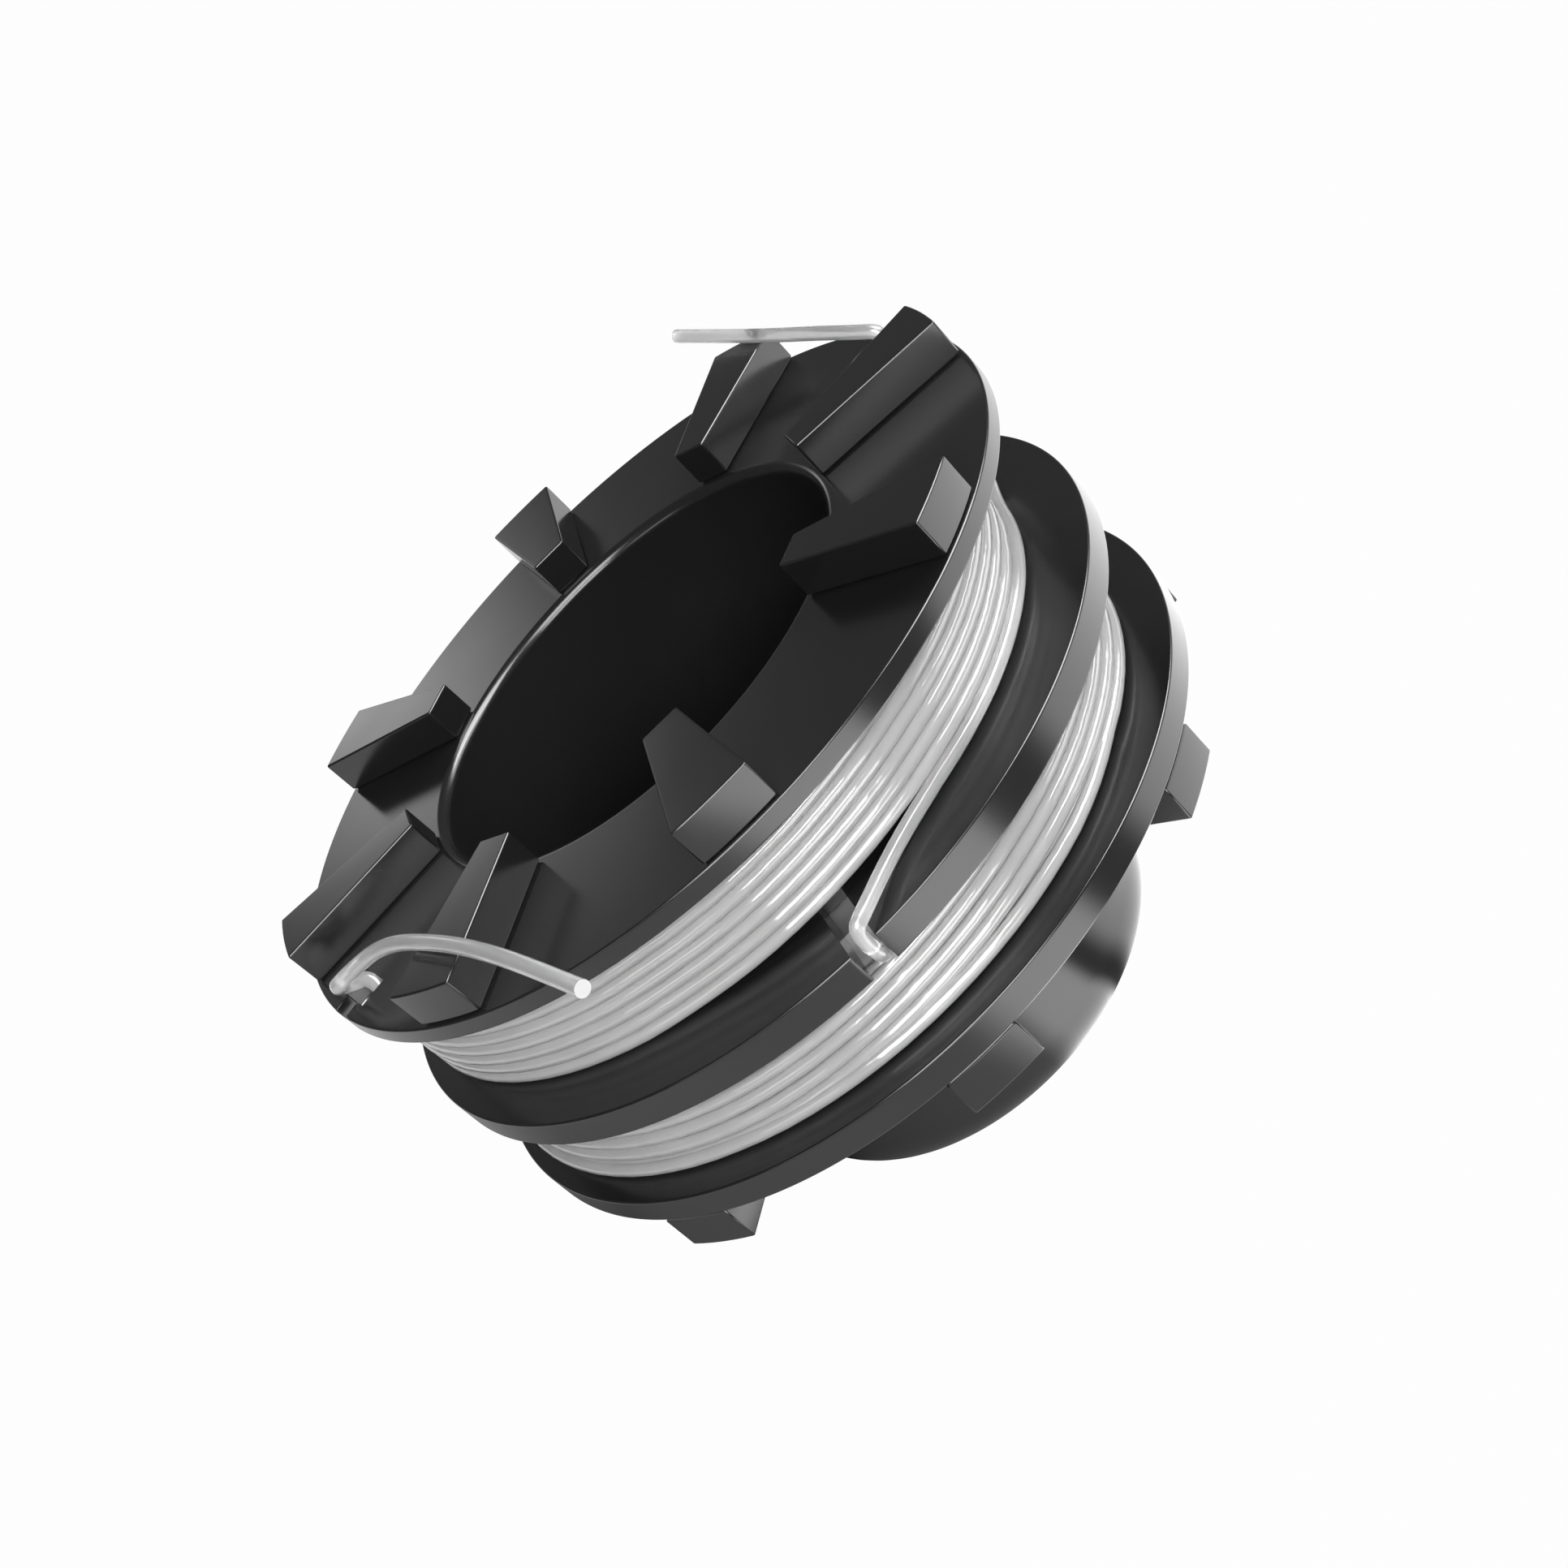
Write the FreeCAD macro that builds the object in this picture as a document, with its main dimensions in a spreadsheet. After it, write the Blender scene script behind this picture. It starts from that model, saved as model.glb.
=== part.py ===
import FreeCAD, Part
import math
import os
import Sketcher
from FreeCAD import Placement, Rotation, Vector

# Trimmer line spool for a twin line cutting head.
# One black moulding carries three flanges on a hub, drive teeth on both end
# flanges and a domed bump button below. Two nylon lines are wound on it, one in
# each chamber, and their ends leave through two eyelets in the top flange.
# The spool stands on its button, with the open bore upwards. The origin is the
# centre of the flat of the button, and +Z is the spool's axis.

# Driving dimensions in millimetres and degrees.
SIZES = {
    "flange_radius": 40.0,
    "top_flange_thickness": 1.8,
    "middle_flange_thickness": 3.0,
    "bottom_flange_thickness": 2.8,
    "upper_chamber_height": 12.3,
    "lower_chamber_height": 9.2,
    "rim_bevel": 0.25,
    "bore_radius": 22.6,
    "bore_lip_radius": 1.0,
    "hub_wall": 2.6,
    "ledge_thickness": 2.4,
    "button_radius": 22.5,
    "button_height": 22.8,
    "button_corner_radius": 6.4,
    "button_wall": 2.6,
    "button_floor": 2.5,
    "cavity_corner_bevel": 2.8,
    "tooth_count": 8,
    "tooth_inner_width": 3.8,
    "tooth_outer_width": 7.7,
    "tooth_edge_bevel": 0.15,
    "top_tooth_height": 3.9,
    "top_tooth_setback": 0.3,
    "top_tooth_gap": 0.1,
    "bottom_tooth_height": 4.0,
    "bottom_tooth_gap": 1.1,
    "notch_web": 2.8,
    "notch_left": 1.43,
    "notch_right": 1.15,
    "eyelet_count": 2,
    "eyelet_angle": -72.2,
    "eyelet_inner_radius": 35.55,
    "eyelet_outer_radius": 38.3,
    "eyelet_half_length": 2.2,
    "slit_left": 1.65,
    "slit_right": 0.85,
    "cut_overrun": 0.5,
    "line_radius": 0.7,
    "line_flat": 0.29,
    "turn_press": 0.035,
    "coil_clearance": 0.1,
    "layer_step": 0.35,
    "upper_coil_radius": 32.7,
    "upper_first_turn": 1.95,
    "lower_coil_radius": 34.5,
    "lower_first_turn": 0.8,
    "lead_clearance": 0.08,
    "foot_step": 1.05,
}

TOLERANCE = 1e-4

doc = FreeCAD.newDocument("trimmer_line_spool")
sheet = doc.addObject("Spreadsheet::Sheet", "Dimensions")
for row, (alias, value) in enumerate(SIZES.items(), start=1):
    sheet.set(f"A{row}", alias)
    sheet.set(f"B{row}", str(value))
    sheet.setAlias(f"B{row}", alias)
doc.recompute()


def size(alias):
    """A driving dimension as the sheet holds it."""
    return float(sheet.get(alias))


def total(*names):
    """Named sizes added up, as (value, expression); a leading minus takes one away."""
    value = 0.0
    expression = "0"
    for name in names:
        alias = name.lstrip("-")
        negative = name.startswith("-")
        value += -size(alias) if negative else size(alias)
        expression += (" - " if negative else " + ") + "Dimensions." + alias
    return value, expression


# Heights along the axis, each a run of sizes counted up from the button's flat.
BOTTOM_LOW = ("button_height",)
BOTTOM_TOP = BOTTOM_LOW + ("bottom_flange_thickness",)
MIDDLE_LOW = BOTTOM_TOP + ("lower_chamber_height",)
MIDDLE_TOP = MIDDLE_LOW + ("middle_flange_thickness",)
TOP_LOW = MIDDLE_TOP + ("upper_chamber_height",)
TOP_FACE = TOP_LOW + ("top_flange_thickness",)
HUB_RADIUS = ("bore_radius", "hub_wall")
NOTHING = ()


def new_sketch(body, name, role, lift=NOTHING, turn=None):
    """A sketch on one of the body's own planes, lifted by named sizes and turned by one."""
    sketch = body.newObject("Sketcher::SketchObject", name)
    plane = [feature for feature in body.Origin.OriginFeatures if feature.Role == role][0]
    sketch.AttachmentSupport = [(plane, "")]
    sketch.MapMode = "FlatFace"
    height, expression = total(*lift)
    angle = size(turn) if turn else 0.0
    sketch.AttachmentOffset = Placement(Vector(0, 0, height), Rotation(Vector(0, 0, 1), angle))
    sketch.setExpression("AttachmentOffset.Base.z", expression)
    if turn:
        sketch.setExpression("AttachmentOffset.Rotation.Angle", "Dimensions." + turn)
    return sketch


def bind(sketch, kind, references, measure):
    """A dimension in the sketch that takes its value from the sheet."""
    value, expression = measure
    index = sketch.addConstraint(Sketcher.Constraint(kind, *references, value))
    sketch.setExpression(f"Constraints[{index}]", expression)


def outline(body, name, role, corners, lift=NOTHING, turn=None):
    """A closed sketch of straight edges; each corner is a pair of lists of named sizes."""
    sketch = new_sketch(body, name, role, lift, turn)
    places = [(total(*across), total(*up)) for across, up in corners]
    points = [Vector(across[0], up[0], 0) for across, up in places]
    for index, point in enumerate(points):
        following = points[(index + 1) % len(points)]
        sketch.addGeometry(Part.LineSegment(point, following), False)
    for index, (across, up) in enumerate(places):
        before = (index - 1) % len(points)
        sketch.addConstraint(Sketcher.Constraint("Coincident", before, 2, index, 1))
        bind(sketch, "DistanceX", (-1, 1, index, 1), across)
        bind(sketch, "DistanceY", (-1, 1, index, 1), up)
    return sketch


def revolve(body, name, sketch):
    """The sketch turned once round the spool's axis."""
    feature = body.newObject("PartDesign::Revolution", name)
    feature.Profile = sketch
    feature.ReferenceAxis = (sketch, ["V_Axis"])
    feature.Angle = 360
    doc.recompute()
    return feature


def extrude(body, kind, name, sketch, depth, downwards):
    """A Pad or Pocket of the sketch, as deep as the named sizes, down or up the axis."""
    feature = body.newObject(kind, name)
    feature.Profile = sketch
    feature.Length = total(*depth)[0]
    feature.setExpression("Length", total(*depth)[1])
    cuts = kind == "PartDesign::Pocket"
    feature.Reversed = not downwards if cuts else downwards
    doc.recompute()
    return feature


def spread_round(body, name, feature, sketch, count):
    """The feature repeated evenly round the spool's axis."""
    pattern = body.newObject("PartDesign::PolarPattern", name)
    pattern.Originals = [feature]
    pattern.Axis = (sketch, ["N_Axis"])
    pattern.Angle = 360
    pattern.Occurrences = int(size(count))
    pattern.setExpression("Occurrences", "Dimensions." + count)
    body.Tip = pattern
    doc.recompute()
    return pattern


def ring_edges(feature, rings):
    """Names of the circular edges that lie at the given radii and heights."""
    names = []
    for index, edge in enumerate(feature.Shape.Edges, start=1):
        if not isinstance(edge.Curve, Part.Circle):
            continue
        for radius, height in rings:
            same_radius = abs(edge.Curve.Radius - total(*radius)[0]) < TOLERANCE
            same_height = abs(edge.Curve.Center.z - total(*height)[0]) < TOLERANCE
            if same_radius and same_height:
                names.append(f"Edge{index}")
    return names


def ease(body, kind, name, base, edges, measure):
    """A Fillet or Chamfer of named size on the listed edges of the base feature."""
    feature = body.newObject(kind, name)
    feature.Base = (base, edges)
    length = "Radius" if kind == "PartDesign::Fillet" else "Size"
    setattr(feature, length, size(measure))
    feature.setExpression(length, "Dimensions." + measure)
    doc.recompute()
    return feature


# Spool body: hub, flanges and button in one turned outline.
# The bore stops at a ledge just above the button, which is a hollow cup.
spool = doc.addObject("PartDesign::Body", "spool_body")
spool.Label = "spool_body"
CAVITY_RADIUS = ("button_radius", "-button_wall")
LEDGE = BOTTOM_LOW + ("ledge_thickness",)
spool_outline = outline(spool, "spool_outline", "XZ_Plane", [
    (NOTHING, NOTHING),
    (("button_radius",), NOTHING),
    (("button_radius",), BOTTOM_LOW),
    (("flange_radius",), BOTTOM_LOW),
    (("flange_radius",), BOTTOM_TOP),
    (HUB_RADIUS, BOTTOM_TOP),
    (HUB_RADIUS, MIDDLE_LOW),
    (("flange_radius",), MIDDLE_LOW),
    (("flange_radius",), MIDDLE_TOP),
    (HUB_RADIUS, MIDDLE_TOP),
    (HUB_RADIUS, TOP_LOW),
    (("flange_radius",), TOP_LOW),
    (("flange_radius",), TOP_FACE),
    (("bore_radius",), TOP_FACE),
    (("bore_radius",), LEDGE),
    (CAVITY_RADIUS, LEDGE),
    (CAVITY_RADIUS, ("button_floor",)),
    (NOTHING, ("button_floor",)),
])
turned = revolve(spool, "turned_form", spool_outline)
button_edge = ring_edges(turned, [(("button_radius",), NOTHING)])
rounded = ease(spool, "PartDesign::Fillet", "button_corner", turned, button_edge, "button_corner_radius")
cavity_edge = ring_edges(rounded, [(CAVITY_RADIUS, ("button_floor",))])
rounded = ease(spool, "PartDesign::Chamfer", "cavity_corner", rounded, cavity_edge, "cavity_corner_bevel")
lip_edge = ring_edges(rounded, [(("bore_radius",), TOP_FACE)])
rounded = ease(spool, "PartDesign::Fillet", "bore_lip", rounded, lip_edge, "bore_lip_radius")
rims = [BOTTOM_LOW, BOTTOM_TOP, MIDDLE_LOW, MIDDLE_TOP, TOP_LOW, TOP_FACE]
rim_edges = ring_edges(rounded, [(("flange_radius",), height) for height in rims])
ease(spool, "PartDesign::Chamfer", "rim_bevels", rounded, rim_edges, "rim_bevel")


def teeth(name, lift, inner, outer, height, downwards):
    """Radial drive teeth: one padded wedge with a rounded outer face, repeated round the axis."""
    sketch = new_sketch(spool, name + "_outline", "XY_Plane", lift)
    half_inner = size("tooth_inner_width") / 2
    half_outer = size("tooth_outer_width") / 2
    outer_radius = total(*outer)[0]
    corner = math.sqrt(outer_radius ** 2 - half_outer ** 2)
    spread = math.asin(half_outer / outer_radius)
    inner_low = Vector(total(*inner)[0], -half_inner, 0)
    inner_high = Vector(total(*inner)[0], half_inner, 0)
    outer_low = Vector(corner, -half_outer, 0)
    outer_high = Vector(corner, half_outer, 0)
    circle = Part.Circle(Vector(0, 0, 0), Vector(0, 0, 1), outer_radius)
    end = sketch.addGeometry(Part.LineSegment(inner_high, inner_low), False)
    low_side = sketch.addGeometry(Part.LineSegment(inner_low, outer_low), False)
    face = sketch.addGeometry(Part.ArcOfCircle(circle, -spread, spread), False)
    high_side = sketch.addGeometry(Part.LineSegment(outer_high, inner_high), False)
    joins = [(end, 2, low_side, 1), (low_side, 2, face, 1), (face, 2, high_side, 1), (high_side, 2, end, 1)]
    for join in joins:
        sketch.addConstraint(Sketcher.Constraint("Coincident", *join))
    sketch.addConstraint(Sketcher.Constraint("Coincident", face, 3, -1, 1))
    sketch.addConstraint(Sketcher.Constraint("Symmetric", end, 1, end, 2, -1))
    sketch.addConstraint(Sketcher.Constraint("Symmetric", face, 1, face, 2, -1))
    bind(sketch, "Radius", (face,), total(*outer))
    bind(sketch, "DistanceX", (-1, 1, end, 1), total(*inner))
    bind(sketch, "DistanceY", (end, 2, end, 1), total("tooth_inner_width"))
    bind(sketch, "DistanceY", (face, 1, face, 2), total("tooth_outer_width"))
    wedge = extrude(spool, "PartDesign::Pad", name, sketch, height, downwards)
    return spread_round(spool, name + "_round", wedge, sketch, "tooth_count")


# Drive teeth: the top ones stand a little inside the rim, and the bottom ones
# are flush with it, so they start inside the flange and fill its bevel.
teeth("top_teeth", TOP_FACE, ("bore_radius", "bore_lip_radius", "top_tooth_gap"),
      ("flange_radius", "-top_tooth_setback"), ("top_tooth_height",), False)
teeth("bottom_teeth", BOTTOM_LOW + ("rim_bevel",), ("button_radius", "bottom_tooth_gap"),
      ("flange_radius",), ("rim_bevel", "bottom_tooth_height"), True)

# Notch through the middle flange, where the lower line climbs to the upper chamber.
# Its floor leaves a web of the flange standing round the hub.
notch_floor = HUB_RADIUS + ("notch_web",)
notch_outline = outline(spool, "notch_outline", "XY_Plane", [
    (notch_floor, ("-notch_left",)),
    (("flange_radius", "cut_overrun"), ("-notch_left",)),
    (("flange_radius", "cut_overrun"), ("notch_right",)),
    (notch_floor, ("notch_right",)),
], lift=MIDDLE_TOP + ("cut_overrun",))
notch_depth = ("middle_flange_thickness", "cut_overrun", "cut_overrun")
extrude(spool, "PartDesign::Pocket", "notch", notch_outline, notch_depth, True)

# Eyelets: a short slot across the top flange, with a narrower slit out to the rim.
eyelet_outline = outline(spool, "eyelet_outline", "XY_Plane", [
    (("eyelet_inner_radius",), ("-eyelet_half_length",)),
    (("eyelet_outer_radius",), ("-eyelet_half_length",)),
    (("eyelet_outer_radius",), ("-slit_left",)),
    (("flange_radius", "cut_overrun"), ("-slit_left",)),
    (("flange_radius", "cut_overrun"), ("slit_right",)),
    (("eyelet_outer_radius",), ("slit_right",)),
    (("eyelet_outer_radius",), ("eyelet_half_length",)),
    (("eyelet_inner_radius",), ("eyelet_half_length",)),
], lift=TOP_FACE + ("cut_overrun",), turn="eyelet_angle")
eyelet_depth = ("top_flange_thickness", "cut_overrun", "cut_overrun")
eyelet = extrude(spool, "PartDesign::Pocket", "eyelet", eyelet_outline, eyelet_depth, True)
cut_form = spread_round(spool, "eyelets_round", eyelet, eyelet_outline, "eyelet_count")


def tooth_end_edges(feature, height):
    """Names of the edges that bound the flat ends of the teeth at one height."""
    level = total(*height)[0]
    names = []
    for index, edge in enumerate(feature.Shape.Edges, start=1):
        box = edge.BoundBox
        if abs(box.ZMin - level) < TOLERANCE and abs(box.ZMax - level) < TOLERANCE:
            names.append(f"Edge{index}")
    return names


tooth_edges = tooth_end_edges(cut_form, TOP_FACE + ("top_tooth_height",))
tooth_edges += tooth_end_edges(cut_form, BOTTOM_LOW + ("-bottom_tooth_height",))
spool.Tip = ease(spool, "PartDesign::Chamfer", "tooth_bevels", cut_form, tooth_edges, "tooth_edge_bevel")


def coil(name, floor, ceiling, radius, first_turn):
    """A wound coil: a plain ring for the layers below, and the outer layer's turns side by side.

    Each turn is drawn with eight flats, of which the ring hides the inner ones.
    """
    body = doc.addObject("PartDesign::Body", name)
    body.Label = name
    inside = HUB_RADIUS + ("coil_clearance",)
    outside = (radius, "-layer_step")
    low = floor + ("coil_clearance",)
    high = ceiling + ("-coil_clearance",)
    ring = outline(body, name + "_layers_outline", "XZ_Plane",
                   [(inside, low), (outside, low), (outside, high), (inside, high)])
    revolve(body, name + "_layers", ring)
    middle = floor + (first_turn,)
    section = outline(body, name + "_turn_outline", "XZ_Plane", [
        (outside, middle + ("-line_radius",)),
        ((radius, "line_flat"), middle + ("-line_radius",)),
        ((radius, "line_radius"), middle + ("-line_flat",)),
        ((radius, "line_radius"), middle + ("line_flat",)),
        ((radius, "line_flat"), middle + ("line_radius",)),
        (outside, middle + ("line_radius",)),
    ])
    turn = revolve(body, name + "_turn", section)
    pitch = 2 * size("line_radius") - size("turn_press")
    room = total(*ceiling)[0] - total(*middle)[0] - size("line_radius")
    steps = math.floor(room / pitch)
    pattern = body.newObject("PartDesign::LinearPattern", name + "_turns")
    pattern.Originals = [turn]
    pattern.Direction = (section, ["V_Axis"])
    pattern.Length = steps * pitch
    pattern.Occurrences = steps + 1
    body.Tip = pattern
    doc.recompute()
    return body


# Coils: the upper line fills its chamber less than the lower one does.
upper_coil = coil("upper_line_coil", MIDDLE_TOP, TOP_LOW, "upper_coil_radius", "upper_first_turn")
lower_coil = coil("lower_line_coil", BOTTOM_TOP, MIDDLE_LOW, "lower_coil_radius", "lower_first_turn")


def at(angle, radius, height):
    """A point by its angle round the axis, its distance from it and its height."""
    turn = math.radians(angle)
    return Vector(radius * math.cos(turn), radius * math.sin(turn), height)


def tangent_path(points):
    """Straight runs joined by tangent arcs, each arc as large as its two runs allow."""
    edges = []
    radii = []
    start = points[0]
    for before, corner, after in zip(points, points[1:], points[2:]):
        shorter = min((corner - before).Length, (after - corner).Length)
        inward = (corner - before).normalize()
        outward = (after - corner).normalize()
        turn = inward.getAngle(outward)
        reach = 0.45 * shorter
        radius = reach / math.tan(turn / 2)
        radii.append(radius)
        first = corner - inward * reach
        last = corner + outward * reach
        bow = (outward - inward).normalize() * (radius / math.cos(turn / 2) - radius)
        edges.append(Part.LineSegment(start, first).toShape())
        edges.append(Part.Arc(first, corner + bow, last).toShape())
        start = last
    edges.append(Part.LineSegment(start, points[-1]).toShape())
    return Part.Wire(edges), radii


def line_tube(name, points):
    """A length of round nylon line swept along its route."""
    wire, radii = tangent_path(points)
    route = doc.addObject("Part::Feature", name + "_route")
    route.Shape = wire
    section = doc.addObject("Part::Circle", name + "_section")
    section.Radius = size("line_radius")
    section.setExpression("Radius", "Dimensions.line_radius")
    heading = points[1] - points[0]
    section.Placement = Placement(points[0], Rotation(Vector(0, 0, 1), heading))
    tube = doc.addObject("Part::Sweep", name)
    tube.Sections = [section]
    tube.Spine = (route, [f"Edge{index + 1}" for index in range(len(wire.Edges))])
    tube.Solid = True
    tube.Frenet = False
    doc.recompute()
    expected = math.pi * size("line_radius") ** 2 * wire.Length
    print(name, "length", round(wire.Length, 1), "tightest radius", round(min(radii), 2),
          "volume over section times length", round(tube.Shape.Volume / expected, 4))
    return tube


def lead(name, points, radius, floor, height):
    """A length of line that the spool holds, trimmed where it comes off the coil's outer flats."""
    tube = line_tube(name + "_whole", points)
    drum = doc.addObject("Part::Cylinder", name + "_drum")
    drum.setExpression("Radius", total(radius, "line_radius")[1])
    drum.setExpression("Height", total(*height)[1])
    drum.setExpression("Placement.Base.z", total(*floor)[1])
    trimmed = doc.addObject("Part::Cut", name)
    trimmed.Base = tube
    trimmed.Tool = drum
    trimmed.Label = name
    doc.recompute()
    return trimmed


def onward(route, distance):
    """The point further along a route's last run, where the next stretch takes the line over."""
    heading = (route[-1] - route[-2]).normalize()
    return route[-1] + heading * distance


middle_low = total(*MIDDLE_LOW)[0]
middle_top = total(*MIDDLE_TOP)[0]
top_low = total(*TOP_LOW)[0]
top_face = total(*TOP_FACE)[0]
eyelet_exit = top_face - 1.1

# Upper lead: off the outer layer near the top flange and up into the first eyelet.
upper_route = [
    at(-49.0, 31.0, top_low - 1.2),
    at(-56.0, 33.3, top_low - 1.1),
    at(-62.8, 35.1, top_low - 1.9),
    at(-70.0, 35.9, top_low - 2.3),
    at(-70.8, 36.7, eyelet_exit),
]
upper_lead = lead("upper_line_lead", upper_route,
                  "upper_coil_radius", MIDDLE_TOP, ("upper_chamber_height",))

# Lower lead: out of the lower chamber, up through the notch, along the foot of
# the upper coil and up behind it to the second eyelet.
foot_radius = size("upper_coil_radius") + size("foot_step")
foot_height = middle_top + size("line_radius") + size("lead_clearance")
lower_route = [
    at(18.5, 33.4, middle_low - 1.75),
    at(12.5, 35.0, middle_low - 1.55),
    at(6.3, 36.3, middle_low - 1.3),
    at(-0.2, 36.95, middle_low - 1.6),
    at(-0.25, 36.95, middle_top + 1.0),
    at(4.6, 36.5, middle_top + 1.3),
    at(9.6, 35.2, middle_top + 0.95),
    at(14.8, 34.1, foot_height),
]
for step in range(8):
    lower_route.append(at(21.0 + 9.2 * step, foot_radius, foot_height))
lower_route += [
    at(92.0, 34.8, foot_height + 1.1),
    at(98.2, 35.5, foot_height + 4.6),
    at(103.6, 36.2, foot_height + 8.3),
    at(107.2, 36.95, top_low - 1.5),
    at(107.9, 36.8, eyelet_exit),
]
lower_lead = lead("lower_line_lead", lower_route,
                  "lower_coil_radius", BOTTOM_TOP, ("lower_chamber_height",))

# Free ends: the left one folds back over the flange, and the rear one leans out.
left_tail = line_tube("left_line_tail", [
    upper_route[-1],
    onward(upper_route, 2.2),
    Vector(10.2, -37.9, top_face + 1.0),
    Vector(11.0, -38.9, top_face + 2.9),
    Vector(13.6, -36.2, top_face + 3.9),
    Vector(17.0, -30.7, top_face + 4.3),
    Vector(22.1, -26.6, top_face + 4.9),
    Vector(28.9, -22.7, top_face + 5.2),
    Vector(36.7, -19.3, top_face + 5.0),
    Vector(43.7, -16.6, top_face + 4.4),
    Vector(47.8, -14.8, top_face + 3.8),
])
rear_tail = line_tube("rear_line_tail", [
    lower_route[-1],
    onward(lower_route, 2.3),
    at(108.8, 36.1, top_face + 3.3),
    Vector(-15.0, 32.4, top_face + 4.6),
    Vector(-20.5, 29.9, top_face + 5.1),
    Vector(-28.0, 27.4, top_face + 5.4),
    Vector(-35.5, 25.2, top_face + 5.7),
    Vector(-42.9, 22.9, top_face + 6.0),
])

doc.recompute()
parts = [spool, upper_coil, lower_coil, upper_lead, lower_lead, left_tail, rear_tail]
for item in doc.Objects:
    if "Invalid" in item.State or "Error" in item.State:
        raise RuntimeError(f"{item.Name} failed: {item.State}")
for part in parts:
    if part.Shape.isNull() or not part.Shape.isValid():
        raise RuntimeError(f"{part.Label} has no valid shape")

os.makedirs("parts", exist_ok=True)
for part in parts:
    part.Shape.exportStep(f"parts/{part.Label}.step")
    print(part.Label, "solids", len(part.Shape.Solids), "volume", round(part.Shape.Volume, 1))
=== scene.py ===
import math
import random

import bmesh
import bpy
from mathutils import Matrix, Vector


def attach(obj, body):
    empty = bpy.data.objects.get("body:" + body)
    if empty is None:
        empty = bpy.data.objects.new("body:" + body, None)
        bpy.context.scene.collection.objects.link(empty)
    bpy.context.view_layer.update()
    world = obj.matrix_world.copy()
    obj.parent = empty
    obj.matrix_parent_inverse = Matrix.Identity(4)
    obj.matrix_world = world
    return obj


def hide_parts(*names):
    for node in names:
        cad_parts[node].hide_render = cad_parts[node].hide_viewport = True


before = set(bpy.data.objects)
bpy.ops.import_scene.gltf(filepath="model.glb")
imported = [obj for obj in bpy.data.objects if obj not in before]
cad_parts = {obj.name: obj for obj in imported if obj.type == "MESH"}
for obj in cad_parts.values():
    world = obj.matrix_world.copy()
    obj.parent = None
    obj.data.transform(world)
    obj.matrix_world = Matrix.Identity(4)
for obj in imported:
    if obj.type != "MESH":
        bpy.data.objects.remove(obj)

scene = bpy.context.scene
scene.view_settings.view_transform = "Standard"
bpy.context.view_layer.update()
MM = 0.001

# The camera stands to one side of the spool and a little above it, and is
# rolled over by half a quarter turn, so that the spool seems to tumble.
camera_place = Vector((187.10, 16.02, 128.57)) * MM
camera_heading = Vector((-0.88625, -0.06837, -0.45814))
CAMERA_ROLL = math.radians(-46.215)
camera = bpy.data.objects.new("camera", bpy.data.cameras.new("camera"))
camera.data.lens = 52.01
camera.data.clip_start = 0.01
camera.data.clip_end = 200
level_view = camera_heading.to_track_quat("-Z", "Y").to_matrix()
camera.matrix_world = (
    Matrix.Translation(camera_place)
    @ level_view.to_4x4()
    @ Matrix.Rotation(CAMERA_ROLL, 4, "Z")
)
scene.collection.objects.link(camera)
scene.camera = camera


# Black moulding: one piece of satin black nylon with hub, three flanges and a
# hollow bump button. It is turned as one outline, with every edge a little
# rounded as a mould leaves it, then notched and slotted, and gets its teeth.
class Link:
    """A node's output that Python arithmetic adds Math nodes to."""

    def __init__(self, graph, socket):
        self.graph = graph
        self.socket = socket

    def reckon(self, operation, first, second):
        return self.graph.add("ShaderNodeMath", {"operation": operation}, {0: first, 1: second})

    def __add__(self, other):
        return self.reckon("ADD", self, other)

    def __radd__(self, other):
        return self.reckon("ADD", other, self)

    def __sub__(self, other):
        return self.reckon("SUBTRACT", self, other)

    def __rsub__(self, other):
        return self.reckon("SUBTRACT", other, self)

    def __mul__(self, other):
        return self.reckon("MULTIPLY", self, other)

    def __rmul__(self, other):
        return self.reckon("MULTIPLY", other, self)


class Graph:
    """The nodes of a material, of the world or of a geometry tree, added one by one."""

    def __init__(self, tree):
        self.tree = tree
        tree.nodes.clear()

    def socket(self, sockets, key):
        """A socket by its place or, among those in use, by its name."""
        if isinstance(key, int):
            return sockets[key]
        return [item for item in sockets if item.name == key and item.enabled][0]

    def add(self, kind, settings=None, inputs=None, output=0):
        """A node of that type with its settings made first, then its values and links."""
        node = self.tree.nodes.new(kind)
        for name, value in (settings or {}).items():
            setattr(node, name, value)
        for key, value in (inputs or {}).items():
            target = self.socket(node.inputs, key)
            if isinstance(value, Link):
                self.tree.links.new(value.socket, target)
            else:
                target.default_value = value
        return Link(self, self.socket(node.outputs, output)) if node.outputs else node


def new_material(name):
    material = bpy.data.materials.new(name)
    material.use_nodes = True
    return material, Graph(material.node_tree)


def link_mesh(name, mesh, *materials):
    """An object at the origin that carries the mesh, in the scene."""
    for material in materials:
        mesh.materials.append(material)
    piece = bpy.data.objects.new(name, mesh)
    scene.collection.objects.link(piece)
    return piece


def settle(piece, name=None):
    """Turns the piece's modifiers into plain mesh, and gives it back as a new object."""
    bpy.context.view_layer.update()
    depsgraph = bpy.context.evaluated_depsgraph_get()
    mesh = bpy.data.meshes.new_from_object(piece.evaluated_get(depsgraph), depsgraph=depsgraph)
    finished = bpy.data.objects.new(name or piece.name + "_settled", mesh)
    scene.collection.objects.link(finished)
    bpy.data.objects.remove(piece)
    return finished


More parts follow.
